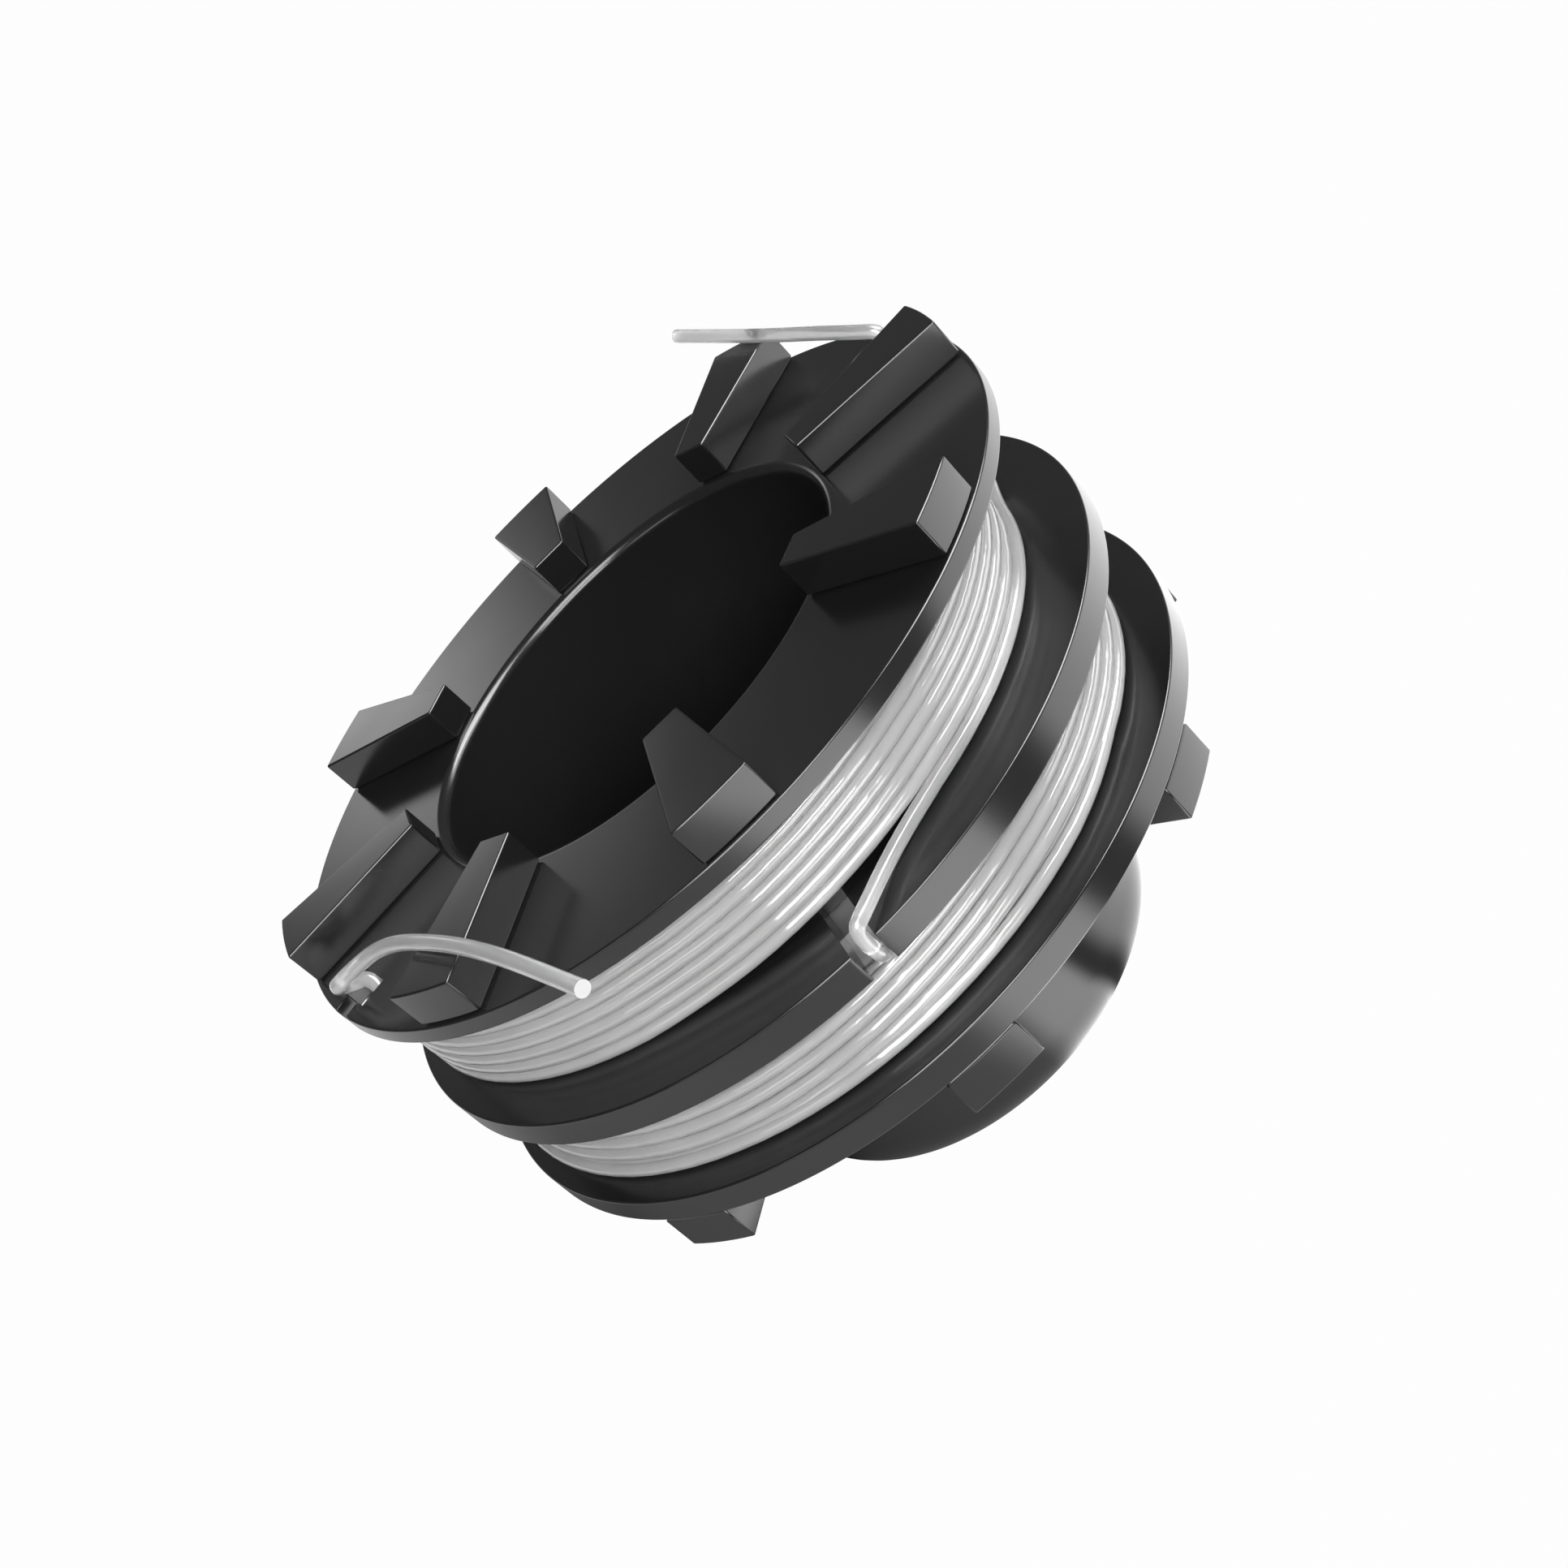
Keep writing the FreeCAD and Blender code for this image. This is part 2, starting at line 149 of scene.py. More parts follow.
def black_plastic():
    """Satin black nylon: faint flow marks in the gloss and a very fine mould grain."""
    material, graph = new_material("black_plastic")
    place = graph.add("ShaderNodeTexCoord", output="Object")
    flow = graph.add("ShaderNodeTexNoise", {}, {"Vector": place, "Scale": 55.0, "Detail": 3.0})
    grain = graph.add("ShaderNodeTexNoise", {}, {"Vector": place, "Scale": 5200.0, "Detail": 2.0})
    colour = graph.add("ShaderNodeMix", {"data_type": "RGBA"}, {
        "Factor": flow, "A": (0.012, 0.012, 0.0125, 1), "B": (0.016, 0.016, 0.0165, 1)}, "Result")
    relief = graph.add("ShaderNodeBump", {}, {
        "Height": grain, "Strength": 0.10, "Distance": 0.00002})
    surface = graph.add("ShaderNodeBsdfPrincipled", {}, {
        "Base Color": colour, "Roughness": 0.15 + flow * 0.09, "IOR": 1.5, "Normal": relief})
    graph.add("ShaderNodeOutputMaterial", {}, {"Surface": surface})
    return material


FLANGE_RADIUS = 40.0
HUB_RADIUS = 25.2
BORE_RADIUS = 22.6
BUTTON_RADIUS = 22.5
CAVITY_RADIUS = 19.9
BUTTON_FLOOR = 2.5
BOTTOM_LOW = 22.8
BOTTOM_TOP = 25.6
LEDGE = 25.2
MIDDLE_LOW = 34.8
MIDDLE_TOP = 37.8
TOP_LOW = 50.1
TOP_FACE = 51.9
RIM_ROUND = 0.22
ROOT_ROUND = 0.3
LIP_ROUND = 1.0
BUTTON_ROUND = 6.4
CAVITY_ROUND = 2.8
LATHE_STEPS = 288

# Corners of the turned outline as (radius, height, rounding).
turned_corners = [
    (0, 0, 0),
    (BUTTON_RADIUS, 0, BUTTON_ROUND),
    (BUTTON_RADIUS, BOTTOM_LOW, ROOT_ROUND),
    (FLANGE_RADIUS, BOTTOM_LOW, RIM_ROUND),
    (FLANGE_RADIUS, BOTTOM_TOP, RIM_ROUND),
    (HUB_RADIUS, BOTTOM_TOP, ROOT_ROUND),
    (HUB_RADIUS, MIDDLE_LOW, ROOT_ROUND),
    (FLANGE_RADIUS, MIDDLE_LOW, RIM_ROUND),
    (FLANGE_RADIUS, MIDDLE_TOP, RIM_ROUND),
    (HUB_RADIUS, MIDDLE_TOP, ROOT_ROUND),
    (HUB_RADIUS, TOP_LOW, ROOT_ROUND),
    (FLANGE_RADIUS, TOP_LOW, RIM_ROUND),
    (FLANGE_RADIUS, TOP_FACE, RIM_ROUND),
    (BORE_RADIUS, TOP_FACE, LIP_ROUND),
    (BORE_RADIUS, LEDGE, ROOT_ROUND),
    (CAVITY_RADIUS, LEDGE, ROOT_ROUND),
    (CAVITY_RADIUS, BUTTON_FLOOR, CAVITY_ROUND),
    (0, BUTTON_FLOOR, 0),
]


def round_corners(corners):
    """The outline's points in millimetres, with each corner's rounding as a short arc."""
    points = []
    for index, (radius, height, rounding) in enumerate(corners):
        corner = Vector((radius, height))
        if rounding == 0:
            points.append(corner)
            continue
        before = (Vector(corners[index - 1][:2]) - corner).normalized()
        after = (Vector(corners[(index + 1) % len(corners)][:2]) - corner).normalized()
        centre = corner + (before + after) * rounding
        steps = 16 if rounding > 2 else 4 if rounding < 0.5 else 8
        for step in range(steps + 1):
            turn = math.pi / 2 * step / steps
            inward = after * rounding * math.cos(turn)
            upward = before * rounding * math.sin(turn)
            points.append(centre - inward - upward)
    return points


def lathe(name, points, steps=LATHE_STEPS):
    """A closed mesh turned about the axis; points on the axis become its poles."""
    form = bmesh.new()
    rings = []
    for radius, height in points:
        count = steps if radius > 1e-6 else 1
        rings.append([
            form.verts.new((
                radius * MM * math.cos(math.tau * step / steps),
                radius * MM * math.sin(math.tau * step / steps),
                height * MM,
            )) for step in range(count)
        ])
    for ring, above in zip(rings, rings[1:] + rings[:1]):
        for step in range(steps):
            following = (step + 1) % steps
            corners = [ring[step % len(ring)], ring[following % len(ring)],
                       above[following % len(above)], above[step % len(above)]]
            unique = list(dict.fromkeys(corners))
            if len(unique) > 2:
                form.faces.new(unique)
    bmesh.ops.recalc_face_normals(form, faces=form.faces)
    mesh = bpy.data.meshes.new(name)
    form.to_mesh(mesh)
    form.free()
    return mesh


def prism(form, levels, turn=0.0):
    """Adds a closed prism through outlines of (x, y) at rising heights, all in millimetres."""
    spin = Matrix.Rotation(turn, 3, "Z")
    loops = []
    for outline, z in levels:
        loops.append([form.verts.new(spin @ Vector((x, y, z)) * MM) for x, y in outline])
    form.faces.new(list(reversed(loops[0])))
    form.faces.new(loops[-1])
    for loop, above in zip(loops, loops[1:]):
        for index in range(len(loop)):
            following = (index + 1) % len(loop)
            form.faces.new((loop[index], loop[following], above[following], above[index]))


NOTCH_FLOOR = 28.0
NOTCH_LEFT = 1.43
NOTCH_RIGHT = 1.15
EYELET_ANGLE = math.radians(-72.2)
EYELET_INNER = 35.55
EYELET_OUTER = 38.3
EYELET_HALF = 2.2
SLIT_LEFT = 1.65
SLIT_RIGHT = 0.85
OVERRUN = 0.6
CUT_ROUND = 0.14


def cutters():
    """The notch in the middle flange, and a slot with its slit for each eyelet."""
    form = bmesh.new()
    past_rim = FLANGE_RADIUS + OVERRUN
    notch = [(NOTCH_FLOOR, -NOTCH_LEFT), (past_rim, -NOTCH_LEFT),
             (past_rim, NOTCH_RIGHT), (NOTCH_FLOOR, NOTCH_RIGHT)]
    prism(form, [(notch, MIDDLE_LOW - OVERRUN), (notch, MIDDLE_TOP + OVERRUN)])
    eyelet = [
        (EYELET_INNER, -EYELET_HALF), (EYELET_OUTER, -EYELET_HALF),
        (EYELET_OUTER, -SLIT_LEFT), (past_rim, -SLIT_LEFT),
        (past_rim, SLIT_RIGHT), (EYELET_OUTER, SLIT_RIGHT),
        (EYELET_OUTER, EYELET_HALF), (EYELET_INNER, EYELET_HALF),
    ]
    levels = [(eyelet, TOP_LOW - OVERRUN), (eyelet, TOP_FACE + OVERRUN)]
    for side in range(2):
        prism(form, levels, EYELET_ANGLE + math.pi * side)
    mesh = bpy.data.meshes.new("cutters")
    form.to_mesh(mesh)
    form.free()
    return link_mesh("cutters", mesh)


TOOTH_COUNT = 8
TOOTH_INNER_HALF = 1.9
TOOTH_OUTER_HALF = 3.85
TOOTH_ROUND = 0.2
FOOT_UNDERCUT = 0.3
TOOTH_SEAT = 0.02
TOOTH_FACE_STEPS = 6
TOP_TOOTH_INNER = BORE_RADIUS + LIP_ROUND + 0.1
TOP_TOOTH_OUTER = FLANGE_RADIUS - 0.3
TOP_TOOTH_HEIGHT = 3.9
BOTTOM_TOOTH_INNER = BUTTON_RADIUS + 1.1
BOTTOM_TOOTH_OUTER = FLANGE_RADIUS - 0.05
BOTTOM_TOOTH_HEIGHT = 4.0


def tooth_outline(inner, outer, inset):
    """A wedge with a curved outer side, drawn that much inside its full size."""
    half = TOOTH_OUTER_HALF - inset
    reach = outer - inset
    spread = math.asin(half / reach)
    face = [-spread + 2 * spread * step / TOOTH_FACE_STEPS for step in range(TOOTH_FACE_STEPS + 1)]
    return [
        (inner + inset, inset - TOOTH_INNER_HALF),
        *[(reach * math.cos(turn), reach * math.sin(turn)) for turn in face],
        (inner + inset, TOOTH_INNER_HALF - inset),
    ]


def tooth(name, inner, outer, foot, tip):
    """One tooth from its foot to its tip: slightly undercut at the foot, with rounded edges."""
    form = bmesh.new()
    full = tooth_outline(inner, outer, 0)
    rise = FOOT_UNDERCUT if tip > foot else -FOOT_UNDERCUT
    levels = [(tooth_outline(inner, outer, FOOT_UNDERCUT), foot), (full, foot + rise), (full, tip)]
    prism(form, sorted(levels, key=lambda level: level[1]))
    form.normal_update()
    sharp = [edge for edge in form.edges if edge.calc_face_angle() > math.radians(60)]
    bmesh.ops.bevel(
        form, geom=sharp, offset=TOOTH_ROUND * MM, segments=3, profile=0.5, affect="EDGES")
    mesh = bpy.data.meshes.new(name)
    form.to_mesh(mesh)
    form.free()
    return link_mesh(name, mesh)


def new_tree(name, inputs, result):
    """A geometry tree's graph and a link for each of its inputs, given by name and kind."""
    tree = bpy.data.node_groups.new(name, "GeometryNodeTree")
    for label, kind in inputs.items():
        tree.interface.new_socket(label, in_out="INPUT", socket_type="NodeSocket" + kind)
    tree.interface.new_socket(result, in_out="OUTPUT", socket_type="NodeSocketGeometry")
    graph = Graph(tree)
    return graph, [graph.add("NodeGroupInput", output=label) for label in inputs]


def teeth_round():
    """Geometry tree: copies of one tooth, evenly round the axis."""
    graph, (one, count, plastic) = new_tree("teeth_round", {
        "Tooth": "Geometry", "Count": "Int", "Plastic": "Material"}, "Teeth")
    places = graph.add("GeometryNodePoints", {}, {"Count": count})
    turn = graph.add("GeometryNodeInputIndex") * graph.add(
        "ShaderNodeMath", {"operation": "DIVIDE"}, {0: math.tau, 1: count})
    heading = graph.add("ShaderNodeCombineXYZ", {}, {"Z": turn})
    copies = graph.add("GeometryNodeInstanceOnPoints", {}, {
        "Points": places, "Instance": one, "Rotation": heading})
    real = graph.add("GeometryNodeRealizeInstances", {}, {"Geometry": copies})
    finished = graph.add("GeometryNodeSetMaterial", {}, {"Geometry": real, "Material": plastic})
    graph.add("NodeGroupOutput", {}, {"Teeth": finished})
    return graph.tree


def set_input(modifier, name, value):
    """Sets one of a geometry tree's inputs on its modifier."""
    item = [item for item in modifier.node_group.interface.items_tree if item.name == name][0]
    modifier[item.identifier] = value


def ring_of(one, tree, plastic):
    """All the teeth of one flange, as one mesh."""
    modifier = one.modifiers.new("round", "NODES")
    modifier.node_group = tree
    set_input(modifier, "Count", TOOTH_COUNT)
    set_input(modifier, "Plastic", plastic)
    return settle(one)


plastic = black_plastic()
spool = link_mesh("turned_form", lathe("turned_form", round_corners(turned_corners)), plastic)
tools = cutters()
cut = spool.modifiers.new("cuts", "BOOLEAN")
cut.operation = "DIFFERENCE"
cut.solver = "EXACT"
cut.object = tools
ease = spool.modifiers.new("eased_cuts", "BEVEL")
ease.width = CUT_ROUND * MM
ease.segments = 2
ease.limit_method = "ANGLE"
ease.angle_limit = math.radians(60)
spool = settle(spool, "cut_form")
bpy.data.objects.remove(tools)

round_tree = teeth_round()
top_teeth = ring_of(tooth(
    "top_tooth", TOP_TOOTH_INNER, TOP_TOOTH_OUTER,
    TOP_FACE - TOOTH_SEAT, TOP_FACE + TOP_TOOTH_HEIGHT), round_tree, plastic)
bottom_teeth = ring_of(tooth(
    "bottom_tooth", BOTTOM_TOOTH_INNER, BOTTOM_TOOTH_OUTER,
    BOTTOM_LOW + TOOTH_SEAT, BOTTOM_LOW - BOTTOM_TOOTH_HEIGHT), round_tree, plastic)
for teeth in (top_teeth, bottom_teeth):
    join = spool.modifiers.new("teeth", "BOOLEAN")
    join.operation = "UNION"
    join.solver = "EXACT"
    join.object = teeth
spool = settle(spool, "moulded_spool")
for teeth in (top_teeth, bottom_teeth):
    bpy.data.objects.remove(teeth)
spool.data.polygons.foreach_set("use_smooth", [True] * len(spool.data.polygons))
spool.data.set_sharp_from_angle(angle=math.radians(50))
weigh = spool.modifiers.new("flat_faces", "WEIGHTED_NORMAL")
weigh.keep_sharp = True
weigh.weight = 100
spool = settle(spool, "spool_moulding")
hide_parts("spool_body")
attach(spool, "root")


# Nylon line: clear drawn nylon, a little milky, with a smooth glossy skin.
# The same line makes the coils, the held stretches and the free ends; the coils'
# copy is given a darker colour as painted shade.
LINE_RADIUS = 0.7
CLOUDING = 0.04


def clear_nylon(name, shade, clearness, unevenness):
    """Milky clear nylon of that pale shade: cloudy inside, glossy and a little uneven outside."""
    material, graph = new_material(name)
    place = graph.add("ShaderNodeTexCoord", output="Object")
    cloud = graph.add("ShaderNodeTexNoise", {}, {"Vector": place, "Scale": 260.0, "Detail": 2.0})
    draw = graph.add("ShaderNodeTexNoise", {}, {"Vector": place, "Scale": 420.0, "Detail": 1.0})
    colour = graph.add("ShaderNodeMix", {"data_type": "RGBA"}, {
        "Factor": cloud, "A": (*[shade - CLOUDING] * 3, 1), "B": (*[shade + CLOUDING] * 3, 1),
    }, "Result")
    relief = graph.add("ShaderNodeBump", {}, {
        "Height": draw, "Strength": unevenness, "Distance": 0.0004})
    surface = graph.add("ShaderNodeBsdfPrincipled", {}, {
        "Base Color": colour, "Roughness": 0.09 + cloud * 0.08, "IOR": 1.53,
        "Specular IOR Level": 1.0, "Transmission Weight": clearness, "Normal": relief})
    graph.add("ShaderNodeOutputMaterial", {}, {"Surface": surface})
    return material


def at(angle, radius, height):
    """A point in millimetres by its angle in degrees, its distance from the axis and its height."""
    turn = math.radians(angle)
    return Vector((radius * math.cos(turn), radius * math.sin(turn), height))


def wound_line():
    """Geometry tree: round line along a drawn path, with closed ends."""
    graph, (path, radius, sides, nylon) = new_tree("wound_line", {
        "Path": "Geometry", "Radius": "Float", "Sides": "Int", "Nylon": "Material"}, "Line")
    route = graph.add("GeometryNodeMeshToCurve", {}, {"Mesh": path})
    section = graph.add("GeometryNodeCurvePrimitiveCircle", {}, {
        "Resolution": sides, "Radius": radius})
    tube = graph.add("GeometryNodeCurveToMesh", {}, {
        "Curve": route, "Profile Curve": section, "Fill Caps": True})
    smooth = graph.add("GeometryNodeSetShadeSmooth", {}, {"Geometry": tube})
    real = graph.add("GeometryNodeRealizeInstances", {}, {"Geometry": smooth})
    finished = graph.add("GeometryNodeSetMaterial", {}, {"Geometry": real, "Material": nylon})
    graph.add("NodeGroupOutput", {}, {"Line": finished})
    return graph.tree


# Coils: nylon line wound on the hub in layers, turn beside turn. Every turn runs
# level and then jogs down by one pitch, in the outer layer on the side of the
# notch. The hand that wound them left them a little slack and out of round.
PITCH = 1.36
OUTER_START = 175.0
OUTER_JOG = 25.0
INNER_START = -60.0
INNER_JOG = 200.0
JOG_LENGTH = 60.0
TURN_STEPS = 90
COIL_LINE_RADIUS = 0.675
LAYER_STEP = 1.18
COIL_SIDES = 14
TUCK = 36.0
WAVE_COUNT = 5
WAVE_RATES = (2.3, 9.7)
WAVE_SIZES = (0.02, 0.045)
SWAY = 0.5
LIFT = 0.35


def ease_in_out(share):
    """Nought to one, straight in the middle and eased at both ends."""
    share = min(max(share, 0.0), 1.0)
    return 0.6 * share + 0.4 * share * share * (3 - 2 * share)


def layer_path(radius, top, first, last, jog_start, seed, bulge, flare=0.0):
    """Points down one wound layer from angle first to angle last, each turn a pitch lower."""
    chance = random.Random(seed)
    waves = [
        (chance.uniform(*WAVE_RATES), chance.uniform(0, math.tau), chance.uniform(*WAVE_SIZES))
        for _ in range(WAVE_COUNT)
    ]
    step = 360 / TURN_STEPS
    count = math.ceil((first - last) / step)
    points = []
    for index in range(count + 1):
        angle = first - (first - last) * index / count
        past = jog_start - angle
        whole = math.floor(past / 360)
        drop = whole + ease_in_out((past - 360 * whole) / JOG_LENGTH)
        turn = math.radians(angle)
        sway = sum(size * math.sin(turn * rate + shift) for rate, shift, size in waves)
        lift = sum(size * math.cos(turn * rate + shift) for rate, shift, size in waves)
        tuck = min(1, (first - angle) / TUCK) * min(1, (angle - last) / TUCK)
        dive = LAYER_STEP * (1 - ease_in_out(tuck))
        reach = radius + bulge(angle) + flare * drop + SWAY * sway - dive
        points.append(at(angle, reach, top - PITCH * drop + LIFT * lift))
    return points


def path_mesh(name, paths):
    """A mesh of bare edges that follow each path in turn."""
    vertices = [point * MM for path in paths for point in path]
    edges = []
    start = 0
    for path in paths:
        edges += [(start + index, start + index + 1) for index in range(len(path) - 1)]
        start += len(path)
    mesh = bpy.data.meshes.new(name)
    mesh.from_pydata(vertices, edges, [])
    return mesh


def wind(name, paths, core, tree, nylon):
    """A coil: its wound layers, over a plain core that stands for the layers below them."""
    layers = link_mesh(name + "_layers", path_mesh(name + "_path", paths))
    modifier = layers.modifiers.new("line", "NODES")
    modifier.node_group = tree
    set_input(modifier, "Radius", COIL_LINE_RADIUS * MM)
    set_input(modifier, "Sides", COIL_SIDES)
    set_input(modifier, "Nylon", nylon)
    layers = settle(layers)
    form = bmesh.new()
    form.from_mesh(layers.data)
    form.from_mesh(core)
    mesh = bpy.data.meshes.new(name)
    form.to_mesh(mesh)
    form.free()
    bpy.data.objects.remove(layers)
    mesh.polygons.foreach_set("use_smooth", [True] * len(mesh.polygons))
    mesh.set_sharp_from_angle(angle=math.radians(50))
    return link_mesh(name, mesh, nylon)


CORE_INNER = 25.3
CORE_STEPS = 144


def core_ring(name, radius, low, high):
    """The plain ring that stands for the hidden layers of a coil."""
    outline = [(CORE_INNER, low), (radius, low), (radius, high), (CORE_INNER, high)]
    return lathe(name, outline, CORE_STEPS)


SLACK_EASE = 80.0


def slack(angle, start, stop, most):
    """How far the loose turns stand out at an angle, between the start and the stop."""
    turned = (start - angle) % 360
    rise = ease_in_out(turned / SLACK_EASE)
    fall = ease_in_out((turned - (start - stop) + SLACK_EASE) / SLACK_EASE)
    return most * (rise - fall) if turned < start - stop else 0.0


# Painted shade: the wound copy of the line gets a darker colour than the free ends, standing in for
# shade on the coils.
nylon = clear_nylon("darkened_wound_nylon", shade=0.66, clearness=0.2, unevenness=0.3)
line_tree = wound_line()
UPPER_RADIUS = 32.7
UPPER_TOP = 49.35
UPPER_END = OUTER_START - 360 * 8 - 25
UPPER_INNER_END = INNER_START - 360 * 7
upper_core = core_ring("upper_core", UPPER_RADIUS - 1.9, MIDDLE_TOP + 1.7, TOP_LOW - 0.1)


def upper_bulge(angle):
    """How far the upper coil stands out of round at an angle."""
    return slack(angle, start=-24.0, stop=-225.0, most=6.2)


upper_paths = [
    layer_path(
        UPPER_RADIUS, UPPER_TOP, OUTER_START, UPPER_END, OUTER_JOG, 3, upper_bulge),
    layer_path(
        UPPER_RADIUS - LAYER_STEP, UPPER_TOP + PITCH / 2,
        INNER_START, UPPER_INNER_END, INNER_JOG, 4, upper_bulge),
]
upper_coil = wind("upper_coil", upper_paths, upper_core, line_tree, nylon)
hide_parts("upper_line_coil")

LOWER_RADIUS = 34.3
LOWER_TOP = 31.86
LOWER_END = OUTER_START - 360 * 4 - 160
LOWER_INNER_END = INNER_START - 360 * 4
LOWER_FLARE = 0.25
LOWER_SWELL = 0.45
LOWER_SHIFT = 0.75
LOWER_SHIFT_HEADING = 75
lower_core = core_ring("lower_core", LOWER_RADIUS - 2.2, BOTTOM_TOP + 0.1, MIDDLE_LOW - 0.1)

# One stray turn lies outside the others, down on the bottom flange.
STRAY_STEP = 1.4
STRAY_HEIGHT = BOTTOM_TOP + 0.75
STRAY_START = 66.0
STRAY_END = -190.0
STRAY_JOG = 131.0


def lower_bulge(angle):
    """How far the lower coil stands out of round at an angle."""
    shift = LOWER_SHIFT * math.cos(math.radians(angle - LOWER_SHIFT_HEADING))
    return LOWER_SWELL - shift + slack(angle, start=-35.0, stop=-225.0, most=2.0)


lower_paths = [
    layer_path(
        LOWER_RADIUS, LOWER_TOP, OUTER_START, LOWER_END, OUTER_JOG, 5, lower_bulge, LOWER_FLARE),
    layer_path(
        LOWER_RADIUS - LAYER_STEP, LOWER_TOP + PITCH * 1.5,
        INNER_START, LOWER_INNER_END, INNER_JOG, 6, lower_bulge),
    layer_path(
        LOWER_RADIUS + STRAY_STEP, STRAY_HEIGHT + PITCH,
        STRAY_START, STRAY_END, STRAY_JOG, 7, lower_bulge),
]
lower_coil = wind("lower_coil", lower_paths, lower_core, line_tree, nylon)
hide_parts("lower_line_coil")
for coil in (upper_coil, lower_coil):
    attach(coil, "root")


# Held stretches of the two nylon lines. The upper one goes straight up into its
# eyelet. The lower one comes up through the notch, lies round the foot of the
# upper coil and rises behind the spool to the other eyelet.
def line_curve(name, points, nylon):
    """Round nylon line along a smooth curve, with those points as its control points."""
    data = bpy.data.curves.new(name, "CURVE")
    data.dimensions = "3D"
    data.bevel_depth = LINE_RADIUS * MM
    data.bevel_resolution = 6
    data.resolution_u = 10
    data.use_fill_caps = True
    spline = data.splines.new("NURBS")
    spline.points.add(len(points) - 1)
    for target, point in zip(spline.points, points):
        target.co = (*(point * MM), 1)
    spline.order_u = 3
    spline.use_endpoint_u = True
    data.materials.append(nylon)
    curve = bpy.data.objects.new(name, data)
    scene.collection.objects.link(curve)
    return curve


EYELET_EXIT = TOP_FACE - 1.1
FOOT_RADIUS = 33.35
FOOT_HEIGHT = MIDDLE_TOP + 0.8
FOOT_START = 21.0
FOOT_SPACING = 9.2
FOOT_POINTS = 8
upper_route = [
    at(-49.0, 31.0, TOP_LOW - 1.2),
    at(-56.0, 33.3, TOP_LOW - 1.1),
    at(-62.8, 35.1, TOP_LOW - 1.9),
    at(-69.8, 35.9, TOP_LOW - 2.3),
    at(-70.2, 36.3, EYELET_EXIT),
]
lower_route = [
    at(18.5, 33.4, MIDDLE_LOW - 1.75),
    at(12.0, 33.2, MIDDLE_LOW - 1.9),
    at(6.0, 33.4, MIDDLE_LOW - 1.8),
    at(2.4, 34.6, MIDDLE_LOW - 1.5),
    at(0.9, 36.9, MIDDLE_LOW - 0.8),
    at(0.3, 38.9, MIDDLE_LOW + 0.6),
    at(0.2, 39.2, MIDDLE_TOP + 0.3),
    at(0.9, 39.35, MIDDLE_TOP + 1.3),
    at(3.2, 38.2, MIDDLE_TOP + 1.25),
    at(7.3, 36.0, MIDDLE_TOP + 0.95),
    at(12.5, 34.5, FOOT_HEIGHT + 0.1),
]
lower_route += [
    at(FOOT_START + FOOT_SPACING * step, FOOT_RADIUS, FOOT_HEIGHT) for step in range(FOOT_POINTS)]
lower_route += [
    at(92.0, 34.8, FOOT_HEIGHT + 1.1),
    at(98.2, 35.5, FOOT_HEIGHT + 4.6),
    at(103.6, 36.2, FOOT_HEIGHT + 8.3),
    at(105.6, 36.7, TOP_LOW - 1.5),
    at(106.2, 36.5, EYELET_EXIT),
]
free_nylon = clear_nylon("free_nylon", shade=0.92, clearness=0.65, unevenness=0.05)
held_stretches = (
    ("upper_lead", "upper_line_lead", upper_route),
    ("lower_lead", "lower_line_lead", lower_route),
)
for name, node, route in held_stretches:
    held = line_curve(name, route, free_nylon)
    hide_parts(node)
    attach(held, "root")


# Free ends: short stiff stretches of the same line beyond the eyelets, cut off
# bare. The left one folds back over the flange, and the rear one leans out.
left_end = line_curve("left_free_end", [
    upper_route[-1],
    Vector((10.84, -34.20, TOP_FACE + 0.12)),
    Vector((10.05, -35.97, TOP_FACE + 0.49)),
    Vector((10.67, -36.81, TOP_FACE + 1.35)),
    Vector((12.02, -36.35, TOP_FACE + 1.95)),
    Vector((13.38, -35.90, TOP_FACE + 2.78)),
    Vector((14.87, -32.29, TOP_FACE + 3.40)),
    Vector((17.38, -29.58, TOP_FACE + 4.00)),
    Vector((21.56, -26.96, TOP_FACE + 4.62)),
    Vector((28.50, -23.21, TOP_FACE + 5.00)),
    Vector((35.36, -20.06, TOP_FACE + 5.11)),
    Vector((42.14, -17.21, TOP_FACE + 4.70)),
    Vector((47.80, -14.92, TOP_FACE + 4.14)),
], free_nylon)
rear_end = line_curve("rear_free_end", [
    lower_route[-1],
    Vector((-9.1, 35.4, TOP_FACE - 0.1)),
    Vector((-7.75, 36.75, TOP_FACE + 1.2)),
    Vector((-7.85, 36.5, TOP_FACE + 2.5)),
    Vector((-9.7, 35.3, TOP_FACE + 3.0)),
    Vector((-14.95, 33.4, TOP_FACE + 3.4)),
    Vector((-20.5, 31.0, TOP_FACE + 4.0)),
    Vector((-27.5, 28.3, TOP_FACE + 4.6)),
    Vector((-34.5, 25.8, TOP_FACE + 5.2)),
    Vector((-38.9, 24.25, TOP_FACE + 5.5)),
], free_nylon)
free_ends = (
    (left_end, "left_line_tail", upper_route[-1], 49.3),
    (rear_end, "rear_line_tail", lower_route[-1], 38.4),
)
for end, node, start, length in free_ends:
    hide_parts(node)
    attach(end, "root")
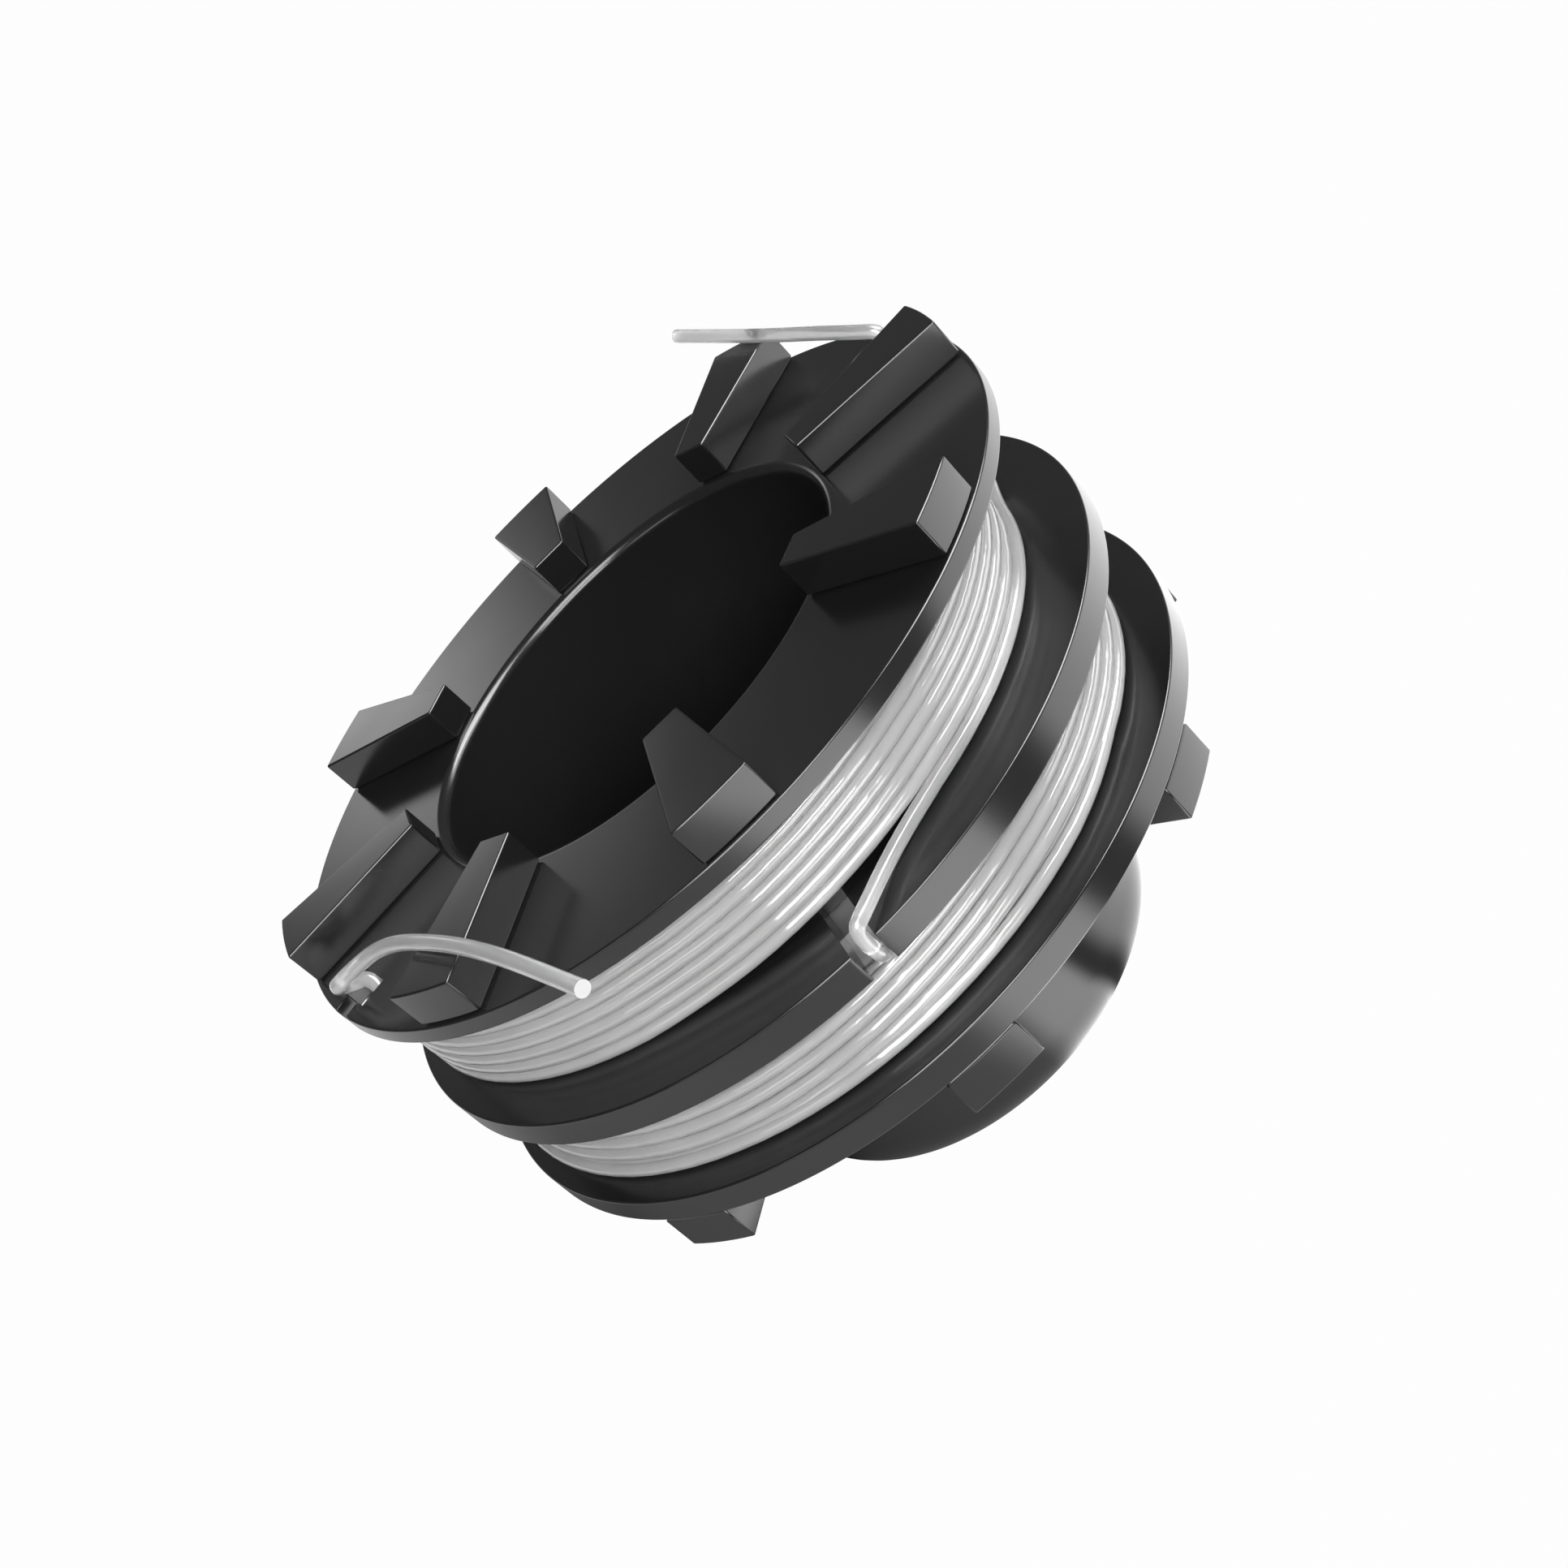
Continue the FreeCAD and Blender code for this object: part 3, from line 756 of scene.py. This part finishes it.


# Ground and light: a white studio floor that keeps a faint shadow, lit by a wide
# soft lamp in front and another at the side. The gloss alone also shows three
# panels, the dark walls of the room and, painted on the floor, bright wedges of
# painted light and a painted shadow round the foot of the spool.
def shown_as_white(graph, plain, white, gloss):
    """The plain shader for falling light, but white to the eye and in glass, and gloss in gloss."""
    camera_ray = graph.add("ShaderNodeLightPath", output="Is Camera Ray")
    glossy_ray = graph.add("ShaderNodeLightPath", output="Is Glossy Ray")
    glass_ray = graph.add("ShaderNodeLightPath", output="Is Transmission Ray")
    looks = (camera_ray + glass_ray) * white
    glow = graph.add("ShaderNodeEmission", {}, {"Color": (1, 1, 1, 1), "Strength": 1.0})
    seen = graph.add("ShaderNodeMixShader", {}, {"Fac": looks, 1: plain, 2: glow})
    return graph.add("ShaderNodeMixShader", {}, {"Fac": glossy_ray, 1: seen, 2: gloss})


def soft_step(graph, value, low, high):
    """Nought below low and one above high, with a smooth rise between."""
    return graph.add("ShaderNodeMapRange", {"interpolation_type": "SMOOTHSTEP"}, {
        "Value": value, "From Min": low, "From Max": high, "To Min": 0.0, "To Max": 1.0})


# Edges of the painted bright wedges on the floor: the bearing of each in degrees,
# how far it turns per metre outwards, its width, and how much the painted glow changes past it.
PAINTED_WEDGE_EDGES = (
    (7.0, 130.0, 12.0, 3.95),
    (29.5, 25.0, 6.0, -4.7),
    (35.0, -120.0, 12.0, 2.9),
    (85.0, 0.0, 90.0, -2.6),
)
FLOOR_REACH = 0.16
PAINTED_SHADE_AT_AXIS = 0.44
GLOW_PER_METRE = 9.5
GLOW_PER_DEGREE = 0.0135
OPEN_FLOOR_GLOW = 1.05
PAINTED_FOOT_SHADOW = (0.014, 0.032)
PAINTED_GLOW_UNDER_SPOOL = 0.25


def painted_floor_glow(graph):
    """Painted glow of the floor in the gloss, by bearing and distance from the axis: wedges of
    painted light and a painted shadow near the spool.
    """
    place = graph.add("ShaderNodeTexCoord", output="Object")
    east = graph.add("ShaderNodeSeparateXYZ", {}, {0: place}, "X")
    north = graph.add("ShaderNodeSeparateXYZ", {}, {0: place}, "Y")
    angle = graph.add("ShaderNodeMath", {"operation": "ARCTAN2"}, {0: north, 1: east})
    bearing = angle * math.degrees(1)
    distance = graph.add("ShaderNodeVectorMath", {"operation": "LENGTH"}, {0: place}, "Value")
    reach = graph.add("ShaderNodeMath", {"operation": "MINIMUM"}, {0: distance, 1: FLOOR_REACH})
    # Painted shadow of the spool on the floor: darker near the axis and towards the left, up to the
    # open floor's glow.
    left = graph.add("ShaderNodeMath", {"operation": "MAXIMUM"}, {0: bearing + 90.0, 1: 0.0})
    glow = graph.add("ShaderNodeMath", {"operation": "MINIMUM"}, {
        0: reach * GLOW_PER_METRE + left * GLOW_PER_DEGREE - PAINTED_SHADE_AT_AXIS, 1: OPEN_FLOOR_GLOW})
    # Painted light: a bright wedge is added or taken away past each edge.
    for start, turn, width, change in PAINTED_WEDGE_EDGES:
        glow = glow + soft_step(graph, bearing + reach * turn, start, start + width) * change
    # Painted shadow under the spool: the glow drops close to the axis.
    clear_of_painted_shadow = soft_step(graph, distance, *PAINTED_FOOT_SHADOW)
    return glow * (clear_of_painted_shadow * (1 - PAINTED_GLOW_UNDER_SPOOL) + PAINTED_GLOW_UNDER_SPOOL)


floor_material, floor_graph = new_material("white_floor")
floor_plain = floor_graph.add("ShaderNodeBsdfDiffuse", {}, {"Color": (0.35, 0.35, 0.35, 1)})
floor_painted_gloss = floor_graph.add("ShaderNodeEmission", {}, {
    "Color": (1, 1, 1, 1), "Strength": painted_floor_glow(floor_graph)})
floor_graph.add("ShaderNodeOutputMaterial", {}, {
    "Surface": shown_as_white(floor_graph, floor_plain, 0.98, floor_painted_gloss)})
FLOOR_HALF = 15.0
floor_mesh = bpy.data.meshes.new("floor")
floor_mesh.from_pydata(
    [(-FLOOR_HALF, -FLOOR_HALF, 0), (FLOOR_HALF, -FLOOR_HALF, 0),
     (FLOOR_HALF, FLOOR_HALF, 0), (-FLOOR_HALF, FLOOR_HALF, 0)], [], [(0, 1, 2, 3)])
floor = link_mesh("floor", floor_mesh, floor_material)


def toward(azimuth, elevation, distance=1.0):
    """A point that lies that way from the origin, by two angles in degrees."""
    turn = math.radians(azimuth)
    rise = math.radians(elevation)
    level = math.cos(rise)
    return Vector((level * math.cos(turn), level * math.sin(turn), math.sin(rise))) * distance


PATCH_HEADING = toward(190.5, 17.5)
PATCH_EDGE = math.cos(math.radians(12))
PATCH_FALL = 8.0
PATCH_GLOW = 2.6
WALL_GLOW = 0.13


def walls_in_gloss(graph):
    """The dark walls of the studio, with one soft patch of light behind the spool."""
    heading = graph.add("ShaderNodeTexCoord", output="Generated")
    nearness = graph.add("ShaderNodeVectorMath", {"operation": "DOT_PRODUCT"}, {
        0: heading, 1: PATCH_HEADING}, "Value")
    patch = graph.add("ShaderNodeMapRange", {}, {
        "Value": nearness, "From Min": PATCH_EDGE, "From Max": 1.0,
        "To Min": 0.0, "To Max": 1.0})
    core = graph.add("ShaderNodeMath", {"operation": "POWER"}, {0: patch, 1: PATCH_FALL})
    return core * PATCH_GLOW + WALL_GLOW


world = bpy.data.worlds.new("studio")
world.use_nodes = True
scene.world = world
sky = Graph(world.node_tree)
room = sky.add("ShaderNodeBackground", {}, {"Color": (1, 1, 1, 1), "Strength": 0.1})
walls = sky.add("ShaderNodeBackground", {}, {
    "Color": (1, 1, 1, 1), "Strength": walls_in_gloss(sky)})
sky.add("ShaderNodeOutputWorld", {}, {"Surface": shown_as_white(sky, room, 0.985, walls)})


LAMP_DISTANCE = 0.9
LAMP_AIM = Vector((0, 0, 0.04))


def area_light(name, azimuth, elevation, width, height, radiance, only_gloss=False):
    """A soft lamp, or a panel that only the gloss shows, that faces the spool from one way."""
    data = bpy.data.lights.new(name, "AREA")
    data.shape = "RECTANGLE"
    data.size = width
    data.size_y = height
    data.energy = radiance * math.pi * width * height
    light = bpy.data.objects.new(name, data)
    light.location = toward(azimuth, elevation, LAMP_DISTANCE) + LAMP_AIM
    light.rotation_mode = "QUATERNION"
    light.rotation_quaternion = (-toward(azimuth, elevation)).to_track_quat("-Z", "Y")
    light.visible_camera = False
    light.visible_diffuse = not only_gloss
    light.visible_transmission = not only_gloss
    scene.collection.objects.link(light)


area_light("front_key", azimuth=0, elevation=25, width=0.65, height=0.28, radiance=12.0)
area_light("side_light", azimuth=95, elevation=32, width=0.75, height=0.40, radiance=5.5)
area_light(
    "left_gloss", azimuth=-50, elevation=25, width=0.40, height=0.20, radiance=2.8, only_gloss=True)
area_light(
    "top_strip", azimuth=0, elevation=55, width=0.66, height=0.50, radiance=12.0, only_gloss=True)
area_light(
    "side_strip", azimuth=95, elevation=50, width=0.80, height=0.45, radiance=15.0, only_gloss=True)
